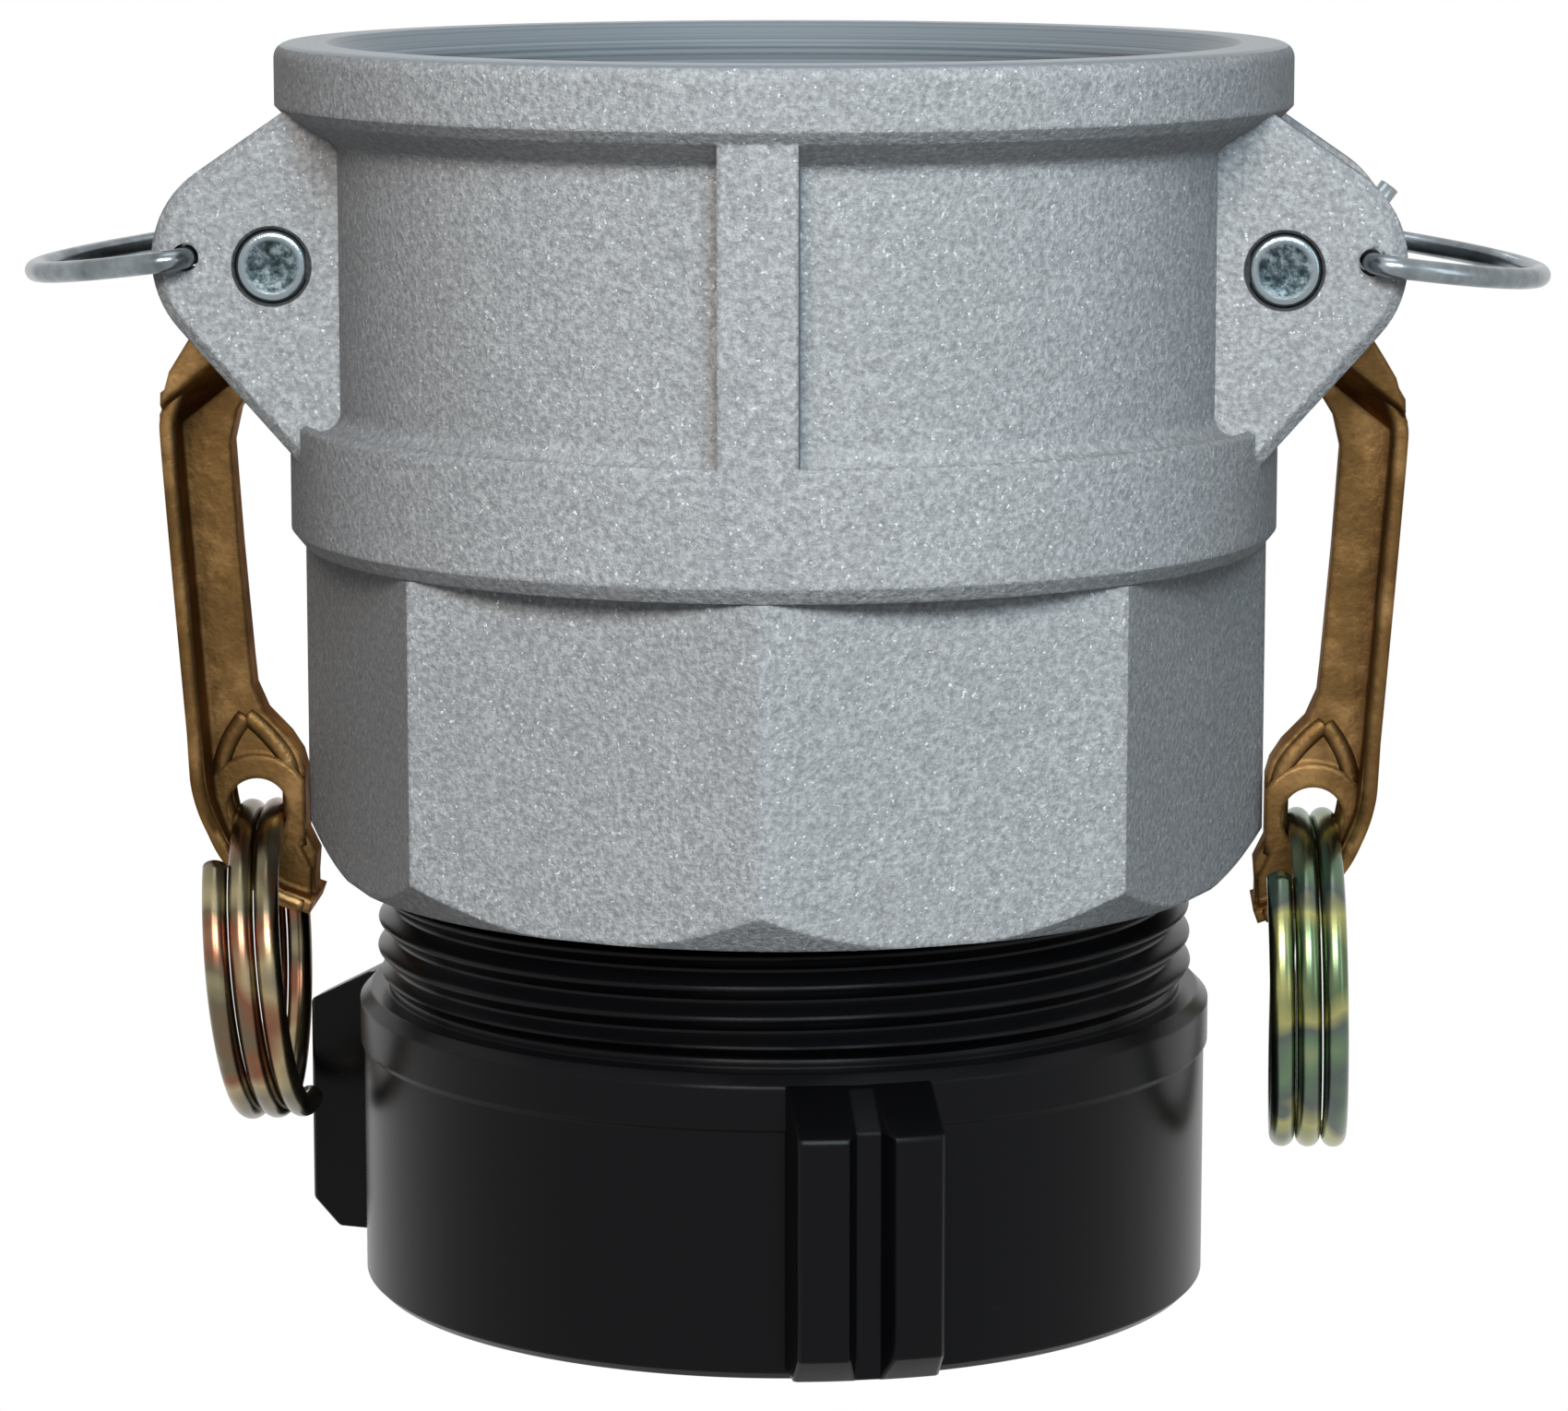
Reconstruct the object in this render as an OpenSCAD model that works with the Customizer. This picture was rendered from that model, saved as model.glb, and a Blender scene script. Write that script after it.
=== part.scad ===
// Cam and groove coupling: a female coupler with two brass cam arms, screwed
// on a black reducing adapter. Millimetres. The adapter's foot stands on
// z = 0, the mouth opens up along +Z, the arms lie along X, and the front rib
// and one corner of the octagon face -Y.

/* [Coupler body] */
// Height of the cast coupler, foot to mouth
body_h = 88.9; // [84:0.1:96]
// Radius of the rim at the mouth
rim_r = 54.2; // [53.4:0.1:57]
// Height of the rim's straight face
rim_h = 7.2; // [5:0.1:9]
// Radius of the turned recess between rim and band
recess_r = 49; // [48.4:0.1:50.5]
// Radius of the band under the recess
band_r = 53; // [52:0.1:54]
// Height of the band
band_h = 11.4; // [9.5:0.1:13]
// Octagon across its flats
oct_af = 96; // [94:0.5:98]
// Height of the octagon, from the body's foot
oct_h = 35.7; // [32:0.1:36.5]
// Radius of the turned foot under the octagon
foot_r = 48.2; // [47.4:0.1:50]
// Width of the front and back rib
rib_w = 8; // [4:0.1:14]
// Radius of each rib's outer face
rib_r = 53; // [51:0.1:53.4]

/* [Bore] */
// Radius of the bore that takes the grooved plug
cam_bore_r = 46.1; // [45.4:0.1:46.6]
// Depth of the gasket seat below the mouth
seat_depth = 49.7; // [47:0.1:51]
// Radius of the waterway through the seat
waterway_r = 38.1; // [34:0.1:40]
// Thickness of the shoulder that carries the gasket
shoulder_t = 8.5; // [5:0.1:12]
// Outer radius of the gasket
gasket_r = 47.4; // [47:0.1:47.8]
// Thickness of the gasket
gasket_t = 6.35; // [4:0.05:8]

/* [Ears] */
// Width over each pair of ears
ear_span = 35; // [31:0.1:40]
// Space between the ears for the cam head
ear_gap = 21.2; // [18:0.1:24]
// Radius of the ear's round tip
ear_tip_r = 11; // [10:0.1:12]
// Distance of the tip's centre from the coupler's axis
ear_tip_x = 54.6; // [53.5:0.1:56]
// Bevel round the ear's outer face
ear_bevel = 1.2; // [0.4:0.1:2]

/* [Cam arms] */
// Distance of each arm pin from the coupler's axis
pin_x = 52.8; // [52:0.1:54]
// Depth of the arm pins below the mouth
pin_drop = 22.8; // [21.5:0.1:24]
// Radius of the arm pin
pin_r = 3.9; // [3:0.1:4.5]
// Radius of the cam head round its pin
head_r = 7.8; // [7:0.1:7.9]
// Distance that the cam lobe's centre stands in from the pin
lobe_throw = 3.6; // [2:0.1:4.4]
// Radius of the cam lobe
lobe_r = 7.3; // [6.6:0.1:7.6]
// Thickness of the cam head between its ears
head_t = 20; // [16:0.1:20.8]
// Width of the handle's outer flange
flange_w = 16; // [12:0.1:18]
// Thickness of the flange
flange_t = 1.5; // [1:0.1:2.5]
// Thickness of the handle's web
web_t = 4.5; // [3:0.1:6]
// Length of the straight handle, bend to eye
handle_l = 41.5; // [36:0.1:44]
// Radius of the eye's hole
eye_r = 3.35; // [3.3:0.05:4]
// Thickness round the eye
eye_t = 5.6; // [4:0.1:7]

/* [Finger rings] */
// Outer diameter of the right finger ring
ring_right_d = 37; // [32:0.1:40]
// Outer diameter of the left finger ring, wound a little tighter
ring_left_d = 35.2; // [32:0.1:40]
// Diameter of the ring's wire
ring_wire_d = 2.7; // [2:0.1:2.8]
// Angle that the left ring leans in, past the line from its eye to its stop
ring_left_lean = -3.8; // [-14:0.1:-3.6]

/* [Safety clips] */
// Diameter of the clip's wire
clip_wire_d = 2.25; // [1.6:0.05:2.4]
// Distance from the arm pin out to the clip's hole
clip_dx = 9.1; // [9:0.1:9.5]
// Height of the clip's hole above the arm pin
clip_dz = 0.9; // [0:0.1:2]
// Reach of the clip's loop, out from its hole
clip_reach = 20; // [16:0.1:24]
// Angle that each clip droops from level
clip_droop = 8; // [0:0.5:12]

/* [Adapter] */
// Radius of the adapter's ring
ring_r = 45.9; // [45.4:0.1:48]
// Height of the adapter's ring
ring_h = 32; // [29:0.1:36]
// Height of the slightly larger collar at the ring's top
collar_h = 6; // [3:0.1:8]
// Radius of the lugs' outer faces
lug_r = 54.2; // [51:0.1:56]
// Width of each lug
lug_w = 15; // [11:0.1:20]
// Width of the groove in each lug, at its mouth
lug_groove_w = 4.5; // [3:0.1:7]
// Depth of the groove in each lug
lug_groove_d = 2.5; // [1:0.1:4]
// Number of lugs
lug_count = 3; // [2:1:4]
// Angle of the first lug from the front, towards +X
lug_angle = 12.3; // [0:0.1:60]
// Length of thread that shows between adapter and coupler
thread_show = 13.3; // [10:0.1:18]
// Length of the tapered male thread
male_l = 41; // [36:0.1:43]
// Radius of the male thread's crests at its root
male_r = 44.45; // [44:0.05:44.6]
// Radius of the hose thread's bore in the foot
hose_r = 39; // [36:0.1:39.2]
// Depth of the hose thread's bore
hose_depth = 23; // [16:0.1:24]
// Radius of the groove for the hose gasket
hose_groove_r = 39.6; // [39.2:0.1:41]
// Thickness of the hose gasket
hose_gasket_t = 4.8; // [3:0.1:6]
// Radius of the adapter's waterway
hose_water_r = 33; // [28:0.1:34]

/* [Hidden] */
$fn = 96;

// Clearances
thread_gap = 0.1;      // radial, male to female taper thread
gasket_gap = 0.2;      // round each gasket and over it
pin_hole_gap = 0.04;   // radial, pin to ears
pin_run_gap = 0.08;    // radial, pin to cam head
clip_gap = 0.32;       // radial, clip to its holes
arm_gap = 0.25;        // arm to the octagon's side corner
cut = 1;               // how far a cut runs past the face it opens
bite = 0.6;            // how far a feature is rooted in what carries it

// Levels
foot_z = ring_h + thread_show;
mouth_z = foot_z + body_h;
oct_z = foot_z + oct_h;
flare_h = 1.7;
band_z = oct_z + flare_h;
band_top = band_z + band_h;
step_h = 2.1;
rim_z = mouth_z - rim_h;
rim_slope_h = 2.4;
seat_z = mouth_z - seat_depth;
thread_top = seat_z - shoulder_t;
foot_chamfer_h = 4.2;
rim_round = 1.5;
mouth_chamfer = 2.5;
taper = 1 / 32;
countersink = 1.9;

pin_z = mouth_z - pin_drop;
ear_tip_z = pin_z + 0.6;
ear_top_a = 55.5;
ear_low_a = -41.6;
ear_root_x = 47;
clip_x = pin_x + clip_dx;
clip_z = pin_z + clip_dz;
clip_hole_r = clip_wire_d / 2 + clip_gap;
slot_lo = pin_z - lobe_throw - lobe_r - 1;
slot_hi = pin_z + head_r + 1.8;

// Point at radius r and angle a round c
function polar(c, r, a) = [c[0] + r * cos(a), c[1] + r * sin(a)];
// Arc of n steps round c
function arc(c, r, a0, a1, n = 6) =
    [for (i = [0 : n]) polar(c, r, a0 + (a1 - a0) * i / n)];
// Radius of the male thread's crests at height z
function male_at(z) = male_r - (z - ring_h) * taper;
function unit(v) = v / norm(v);
// Left-hand normal of a path at its point i
function path_normal(p, i) =
    let (a = p[max(i - 1, 0)], b = p[min(i + 1, len(p) - 1)], d = unit(b - a))
    [-d[1], d[0]];
// Strip of thickness t on the left of a path
function strip(p, t) = concat(
    p, [for (i = [len(p) - 1 : -1 : 0]) p[i] + t * path_normal(p, i)]);

// Draws a profile of X and Z as a plate of thickness t, centred on Y = 0
module plate(t) rotate([90, 0, 0]) linear_extrude(t, center = true) children();

// Coupler body

module body_turned() {
    rotate_extrude() polygon(concat(
        [[0, oct_z - bite], [oct_af / 2, oct_z - bite]],
        [[band_r - 1.3, oct_z + 0.1], [band_r, band_z],
         [band_r, band_top], [band_r - 0.6, band_top + 0.6]],
        arc([recess_r + step_h, band_top + step_h], step_h, 270, 180),
        arc([recess_r + 1.6, rim_z - rim_slope_h - 1.6], 1.6, 180, 120, 4),
        [[rim_r - 1.2, rim_z - 0.5]],
        [[rim_r, rim_z + 0.7]],
        arc([rim_r - rim_round, mouth_z - rim_round], rim_round, 0, 90),
        [[0, mouth_z]]));
}

module octagon() {
    intersection() {
        translate([0, 0, foot_z])
            cylinder(h = oct_h, r = oct_af / 2 / cos(22.5), $fn = 8);
        rotate_extrude() polygon([
            [0, foot_z], [foot_r, foot_z],
            [oct_af / 2 / cos(22.5) + 0.1, foot_z + foot_chamfer_h],
            [oct_af / 2 / cos(22.5) + 0.1, oct_z + cut], [0, oct_z + cut]]);
    }
}

module ear_profile() {
    tip = [ear_tip_x, ear_tip_z];
    hi = polar(tip, ear_tip_r, ear_top_a);
    lo = polar(tip, ear_tip_r, ear_low_a);
    run_hi = (hi[0] - 50) / sin(ear_top_a);
    run_lo = (lo[0] - ear_root_x) / sin(-ear_low_a);
    top = hi + run_hi * [-sin(ear_top_a), cos(ear_top_a)];
    low = lo + run_lo * [sin(ear_low_a), -cos(ear_low_a)];
    polygon(concat([[ear_root_x, top[1]], [ear_root_x, low[1]]],
                   arc(tip, ear_tip_r, ear_low_a, ear_top_a, 18), [top]));
}

// One ear, its inner face on Y = ear_gap / 2, its outer edge bevelled
module ear() {
    t = (ear_span - ear_gap) / 2;
    translate([0, ear_span / 2, 0]) rotate([90, 0, 0]) hull() {
        translate([0, 0, ear_bevel]) linear_extrude(t - ear_bevel) ear_profile();
        linear_extrude(t) offset(delta = -ear_bevel) ear_profile();
    }
}

module rib() {
    intersection() {
        translate([-rib_w / 2, -rib_r - cut, band_top - bite])
            cube([rib_w, rib_r + cut, rim_z - band_top + 2 * bite]);
        translate([0, 0, band_z]) cylinder(h = rim_z + 2 - band_z, r = rib_r);
    }
}

module body_bore() {
    // plug bore, gasket seat and waterway
    rotate_extrude() polygon([
        [0, thread_top - cut], [waterway_r, thread_top - cut],
        [waterway_r, seat_z], [gasket_r + gasket_gap, seat_z],
        [gasket_r + gasket_gap, seat_z + gasket_t + gasket_gap],
        [cam_bore_r, seat_z + gasket_t + gasket_gap],
        [cam_bore_r, mouth_z - mouth_chamfer],
        [cam_bore_r + mouth_chamfer, mouth_z],
        [cam_bore_r + mouth_chamfer, mouth_z + cut], [0, mouth_z + cut]]);
    // tapered pipe thread with its countersink
    rotate_extrude() polygon([
        [0, foot_z - cut],
        [male_at(foot_z) + thread_gap + countersink, foot_z - cut],
        [male_at(foot_z) + thread_gap + countersink, foot_z],
        [male_at(foot_z + countersink) + thread_gap, foot_z + countersink],
        [male_at(thread_top) + thread_gap, thread_top],
        [0, thread_top]]);
}

module coupler_body() {
    color("Silver") difference() {
        union() {
            body_turned();
            octagon();
            for (a = [0, 180]) rotate(a) rib();
            for (m = [0, 1], k = [0, 1]) mirror([m, 0, 0]) mirror([0, k, 0]) ear();
        }
        body_bore();
        for (m = [0, 1]) mirror([m, 0, 0]) {
            translate([cam_bore_r - 8, -ear_gap / 2, slot_lo])
                cube([recess_r - cam_bore_r + 10, ear_gap, slot_hi - slot_lo]);
            translate([pin_x, 0, pin_z]) rotate([90, 0, 0])
                cylinder(h = ear_span + 2 * cut, r = pin_r + pin_hole_gap, center = true);
            translate([clip_x, 0, clip_z]) rotate([90, 0, 0])
                cylinder(h = ear_span + 2 * cut, r = clip_hole_r, center = true);
        }
    }
}

module coupler_gasket() {
    color("DimGray") translate([0, 0, seat_z]) difference() {
        cylinder(h = gasket_t, r = gasket_r);
        translate([0, 0, -cut]) cylinder(h = gasket_t + 2 * cut, r = waterway_r + 0.6);
    }
}

// Adapter

module lug() {
    top_slope = 3.8;
    chamfer = 2.8;
    lift = 1.4;
    difference() {
        intersection() {
            translate([-lug_w / 2, 0, 0]) rotate([90, 0, 90]) linear_extrude(lug_w)
                polygon([[-ring_r + 2, lift], [-lug_r + chamfer, lift],
                         [-lug_r - 0.3, lift + chamfer + 0.3],
                         [-lug_r - 0.3, ring_h - 1 - top_slope],
                         [-lug_r, ring_h - 1 - top_slope],
                         [-ring_r, ring_h - 1], [-ring_r + 2, ring_h - 1]]);
            cylinder(h = ring_h, r = lug_r);
        }
        linear_extrude(ring_h)
            polygon([[-lug_groove_w / 2 - 0.3, -lug_r - 0.5],
                     [lug_groove_w / 2 + 0.3, -lug_r - 0.5],
                     [lug_groove_w / 2 - 1, -lug_r + lug_groove_d],
                     [-lug_groove_w / 2 + 1, -lug_r + lug_groove_d]]);
    }
}

module adapter() {
    foot_chamfer = 0.8;
    bevel = 1.2;
    relief = 1.3;
    collar_r = ring_r + 0.4;
    neck_r = male_r - relief;
    hose_cone_h = 3;
    male_top = ring_h + male_l;
    color("#1c1c1e") difference() {
        union() {
            rotate_extrude() polygon([
                [0, 0], [ring_r - foot_chamfer, 0], [ring_r, foot_chamfer],
                [ring_r, ring_h - collar_h], [collar_r, ring_h - collar_h + 0.4],
                [collar_r, ring_h - bevel], [collar_r - bevel, ring_h],
                [neck_r, ring_h], [neck_r, ring_h + 1],
                [male_at(ring_h + 1 + relief), ring_h + 1 + relief],
                [male_at(male_top - 1), male_top - 1],
                [male_at(male_top - 1) - 1, male_top], [0, male_top]]);
            for (i = [0 : lug_count - 1])
                rotate(lug_angle - i * 360 / lug_count) lug();
        }
        translate([0, 0, -cut]) cylinder(h = hose_depth, r = hose_r);
        // groove that keeps the hose gasket in
        translate([0, 0, hose_depth - hose_gasket_t - 0.4])
            cylinder(h = hose_gasket_t + 0.4, r = hose_groove_r);
        translate([0, 0, -0.001]) cylinder(h = 1.2, r1 = hose_r + 1.2, r2 = hose_r);
        translate([0, 0, hose_depth - cut])
            cylinder(h = male_top + 2 * cut, r = hose_water_r);
        translate([0, 0, ring_h + hose_cone_h])
            cylinder(h = male_l, r = hose_water_r + 3);
        translate([0, 0, ring_h])
            cylinder(h = hose_cone_h + 0.01, r1 = hose_water_r, r2 = hose_water_r + 3);
    }
}

module adapter_gasket() {
    color("DimGray") translate([0, 0, hose_depth - hose_gasket_t]) difference() {
        cylinder(h = hose_gasket_t, r = hose_groove_r - gasket_gap);
        translate([0, 0, -cut])
            cylinder(h = hose_gasket_t + 2 * cut, r = hose_water_r + 0.5);
    }
}

// Cam arm on the right; the left one is its mirror image

bend = [pin_x + 13.6, pin_z - 18.9];
// straight handle leans in a little on its way down
handle_in = handle_l * 0.062;
heel = bend + [-handle_in, -handle_l + 6];
eye = bend + [-9.1, -handle_l];
shoulder_pt = [pin_x + 9.7, pin_z - 7.9];
upper_pt = [pin_x + 12.2, pin_z - 11.9];
outer_path = [
    upper_pt + [-0.5, -0.4], bend + [0, 2.2], bend + [0, -0.6], heel,
    heel + [-0.5, -5], heel + [-1.9, -9], heel + [-3.4, -11.6],
    heel + [-5.8, -14], heel + [-8.8, -15.8], heel + [-12.4, -17.1]];
// ridge where the thick head ends and slopes down to the web
ridge_in = bend + [-6.1, 8.2];
ridge_out = bend + [-0.5, 3.8];
ridge_a = -atan2(ridge_out[1] - ridge_in[1], ridge_out[0] - ridge_in[0]);
// arm's inner edge beside the octagon's corner
side_x = oct_af / 2 / cos(22.5) + arm_gap;
inner_path = [
    [pin_x + 3.4, pin_z - head_r + 1.6], bend + [-9.8, 6.6],
    bend + [-8.9, 4.3], bend + [-7.5, 2], bend + [-6.7, -1.5],
    [bend[0] - 7.4, bend[1] - 12.5], [eye[0] + 0.7, eye[1] + 16.5],
    [eye[0] + 0.4, eye[1] + 13.4], [eye[0] - 0.8, eye[1] + 10.6],
    [eye[0] - 3.3, eye[1] + 8], [side_x + 0.5, eye[1] + 6],
    [side_x, eye[1] + 4.2], [side_x, foot_z + foot_chamfer_h - 1],
    [side_x - 1.2, foot_z + 0.7], [side_x - 1, eye[1] - 7.6]];

relief_r = 6.7;
// angle of the flat on the cam head's back that clears the safety clip
relief_a = atan2(shoulder_pt[1] - pin_z, shoulder_pt[0] - pin_x)
         + acos(relief_r / norm(shoulder_pt - [pin_x, pin_z]));

module head_profile() {
    difference() {
        union() {
            translate([pin_x, pin_z]) circle(r = head_r);
            translate([pin_x - lobe_throw, pin_z - 0.5]) circle(r = lobe_r);
            polygon([[pin_x, pin_z], [pin_x + head_r * 0.7, pin_z + head_r * 0.7],
                     shoulder_pt, upper_pt, ridge_out, ridge_in,
                     [pin_x + 1.6, pin_z - head_r - 0.6],
                     [pin_x - 2, pin_z - head_r + 0.3]]);
        }
        // back flat, from the shoulder up past the safety clip
        translate([pin_x, pin_z]) rotate(relief_a)
            translate([relief_r, -10.2]) square([10, 24]);
    }
}

module arm() {
    slope_h = 3.2;
    difference() {
        union() {
            plate(head_t) head_profile();
            // slope from the thick head down to the web
            intersection() {
                translate([ridge_in[0], 0, ridge_in[1]]) rotate([0, ridge_a, 0])
                    translate([-6, 0, 0]) rotate([90, 0, 90]) linear_extrude(16)
                        polygon([[-head_t / 2 + 0.3, 0.8], [-head_t / 2 + 0.3, -0.2],
                                 [-web_t / 2 + 0.2, -slope_h], [web_t / 2 - 0.2, -slope_h],
                                 [head_t / 2 - 0.3, -0.2], [head_t / 2 - 0.3, 0.8]]);
                plate(head_t + 2) polygon([
                    ridge_out + [0.1, 1.4], bend + [-0.3, 2.4], bend + [-1, -3],
                    bend + [-7, -1], bend + [-8.6, 4.2], bend + [-9.4, 6.6],
                    ridge_in + [-3.6, 2.2]]);
            }
            // web
            plate(web_t) polygon(concat(
                inner_path, [for (i = [len(outer_path) - 1 : -1 : 0])
                    outer_path[i] - flange_t / 2 * path_normal(outer_path, i)],
                [shoulder_pt + [-2, -1]]));
            // flange along the outer edge, round under the eye to the toe
            intersection() {
                plate(flange_w) polygon(strip(outer_path, -flange_t));
                rotate([90, 0, 90]) linear_extrude(pin_x * 2) polygon([
                    [-flange_w / 2, bend[1] + 10], [-flange_w / 2, eye[1] + 4],
                    [-flange_w / 2 + 2.4, eye[1] - 2], [-flange_w / 2 + 2.4, eye[1] - 12],
                    [flange_w / 2 - 2.4, eye[1] - 12], [flange_w / 2 - 2.4, eye[1] - 2],
                    [flange_w / 2, eye[1] + 4], [flange_w / 2, bend[1] + 10]]);
            }
            // boss round the eye, flat beside the octagon, and the toe under it
            plate(eye_t) intersection() {
                translate(eye) circle(r = eye_r + 2.6);
                translate([side_x, eye[1] - 10]) square(20);
            }
            plate(eye_t) polygon([
                [eye[0] - 4, eye[1] - 3], [eye[0] - 5.8, eye[1] - 6.6],
                [eye[0] - 5.6, eye[1] - 10.2], [eye[0] - 4.6, eye[1] - 10.1],
                [eye[0] - 2.6, eye[1] - 9.2], [eye[0], eye[1] - 5]]);
        }
        translate([pin_x, 0, pin_z]) rotate([90, 0, 0])
            cylinder(h = head_t + 2 * cut, r = pin_r + pin_run_gap, center = true);
        translate([eye[0], 0, eye[1]]) rotate([90, 0, 0])
            cylinder(h = flange_w + 2 * cut, r = eye_r, center = true);
    }
}

module cam_arm_right() color("#b08d4c") arm();
module cam_arm_left() color("#b08d4c") mirror([1, 0, 0]) arm();

// Arm pin, its ends domed at the edge and flush with the ears
module arm_pin() {
    edge = 0.7;
    half = ear_span / 2;
    translate([pin_x, 0, pin_z]) rotate([90, 0, 0]) rotate_extrude() polygon(concat(
        [[0, -half], [pin_r - edge, -half]],
        arc([pin_r - edge, -half + edge], edge, 270, 360, 4),
        arc([pin_r - edge, half - edge], edge, 0, 90, 4), [[0, half]]));
}
module arm_pin_right() color("#b9c4c9") arm_pin();
module arm_pin_left() color("#b9c4c9") mirror([1, 0, 0]) arm_pin();

// Finger ring: a wire coil of nearly two and a half turns, three strands wide
// in front and two strands wide where it passes through the eye

coil_from = 40;
coil_to = 905;
coil_step = 12.01389;
coil_sides = 10;
coil_pitch = ring_wire_d + 0.1;
hang = 0.95;

// The left ring's stop is the near corner of the lug behind it, or the
// adapter's ring, whichever it meets first as it leans in
ring_left_c = (ring_left_d - ring_wire_d) / 2;
lug_past_side = max(0, abs(abs(lug_angle - 360 / lug_count) - 90)
                       - asin(lug_w / 2 / lug_r));
lug_stop = lug_r * [cos(lug_past_side), sin(lug_past_side)];
lug_drop = hang + ring_left_c
         + sqrt(max(0, ring_left_c ^ 2 - lug_stop[1] ^ 2));
stop_lean = min(atan2(eye[0] - lug_stop[0], lug_drop),
                atan2(eye[0] - ring_r - coil_pitch, hang + 2 * ring_left_c));

// Centre of the wire at angle a, which runs from the top over the front
function coil_at(a, rc) = [
    coil_pitch * (a - 540) / 360, -rc * sin(a), rc * cos(a) - rc];
function coil_loop(a, rc, rw) =
    let (c = coil_at(a, rc), out = [0, -sin(a), cos(a)])
    [for (k = [0 : coil_sides - 1])
        let (b = 360 * k / coil_sides)
        c + rw * (cos(b) * out + sin(b) * [1, 0, 0])];
module coil(d) {
    rc = (d - ring_wire_d) / 2;
    n = round((coil_to - coil_from) / coil_step);
    pts = [for (i = [0 : n], p = coil_loop(
        coil_from + (coil_to - coil_from) * i / n, rc, ring_wire_d / 2)) p];
    m = coil_sides;
    sides = [for (i = [0 : n - 1], k = [0 : m - 1])
        [i * m + k, (i + 1) * m + k, (i + 1) * m + (k + 1) % m, i * m + (k + 1) % m]];
    polyhedron(pts, concat(
        [[for (k = [0 : m - 1]) k]], sides,
        [[for (k = [m - 1 : -1 : 0]) n * m + k]]), convexity = 6);
}
module finger_ring_right() color("#a9a58c")
    translate([eye[0], 0, eye[1] - hang]) coil(ring_right_d);
module finger_ring_left() color("#a9a58c")
    translate([-eye[0], 0, eye[1]]) rotate([0, -stop_lean - ring_left_lean, 0])
        translate([0, 0, -hang]) coil(ring_left_d);

// Round wire of radius r along a flat path in the XY plane
module wire(p, r) {
    m = 14;
    n = len(p) - 1;
    pts = [for (i = [0 : n]) let (s = path_normal(p, i)) for (k = [0 : m - 1])
        let (b = 360 * k / m)
        [p[i][0] + r * cos(b) * s[0], p[i][1] + r * cos(b) * s[1], r * sin(b)]];
    polyhedron(pts, concat(
        [[for (k = [0 : m - 1]) k]],
        [for (i = [0 : n - 1], k = [0 : m - 1])
            [i * m + k, (i + 1) * m + k, (i + 1) * m + (k + 1) % m, i * m + (k + 1) % m]],
        [[for (k = [m - 1 : -1 : 0]) n * m + k]]), convexity = 6);
}

// Safety clip: a shank through both ears, bent at the front into a loop that
// comes back behind the rear ear, and a short tab at the shank's rear end

module clip() {
    rw = clip_wire_d / 2;
    bend_r = 2.2;
    // the shank ends just past the ears, where the bends begin
    shank = ear_span / 2 + 0.15;
    // loop's circle: touches the front bend from outside and reaches clip_reach
    side = shank;
    // from (R - bend_r)^2 = (bend_r - c)^2 + side^2 and R + c = reach
    reach = clip_reach - rw;
    loop_c = ((reach - bend_r) ^ 2 - bend_r ^ 2 - side ^ 2)
           / (2 * (reach - bend_r) - 2 * bend_r);
    loop_r = reach - loop_c;
    meet = atan2(-side, bend_r - loop_c);
    end_a = -meet - 3;
    tab_l = 4.4;
    tab_a = 62;
    translate([clip_x, 0, clip_z]) rotate([0, clip_droop, 0]) {
        rotate([90, 0, 0]) cylinder(h = 2 * shank, r = rw, center = true, $fn = 32);
        // front bend and loop
        wire(concat([[0, -shank + 1.2]],
                    arc([bend_r, -shank], bend_r, 180, 360 + meet, 8),
                    arc([loop_c, 0], loop_r, meet + 3, end_a, 34)),
             rw - 0.03);
        // rear bend and tab, turned up clear of the loop's end
        rotate([0, -tab_a, 0])
            wire(concat([[0, shank - 1.2]],
                        arc([bend_r, shank], bend_r, 180, 90, 7),
                        [[bend_r + tab_l, shank + bend_r]]),
                 rw - 0.03);
    }
}
module safety_clip_right() color("#c3cdd2") clip();
module safety_clip_left() color("#c3cdd2") mirror([1, 0, 0]) clip();

coupler_body();
coupler_gasket();
adapter();
adapter_gasket();
cam_arm_left();
cam_arm_right();
arm_pin_left();
arm_pin_right();
finger_ring_left();
finger_ring_right();
safety_clip_left();
safety_clip_right();
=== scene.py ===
import math
import bpy
import numpy as np
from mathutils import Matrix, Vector


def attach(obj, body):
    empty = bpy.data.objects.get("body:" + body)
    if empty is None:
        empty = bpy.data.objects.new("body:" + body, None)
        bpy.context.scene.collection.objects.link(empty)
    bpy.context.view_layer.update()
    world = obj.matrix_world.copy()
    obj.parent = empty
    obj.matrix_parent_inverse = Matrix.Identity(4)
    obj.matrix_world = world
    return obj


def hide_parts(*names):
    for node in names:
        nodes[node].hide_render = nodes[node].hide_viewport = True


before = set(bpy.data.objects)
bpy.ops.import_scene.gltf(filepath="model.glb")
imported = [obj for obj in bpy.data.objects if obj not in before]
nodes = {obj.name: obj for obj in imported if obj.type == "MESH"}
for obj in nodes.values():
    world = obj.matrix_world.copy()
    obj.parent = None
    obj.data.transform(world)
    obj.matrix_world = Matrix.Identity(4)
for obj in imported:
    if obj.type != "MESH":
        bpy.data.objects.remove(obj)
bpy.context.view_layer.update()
mm = 0.001
fullTurn = 2 * math.pi

print("camera and stage")

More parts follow.
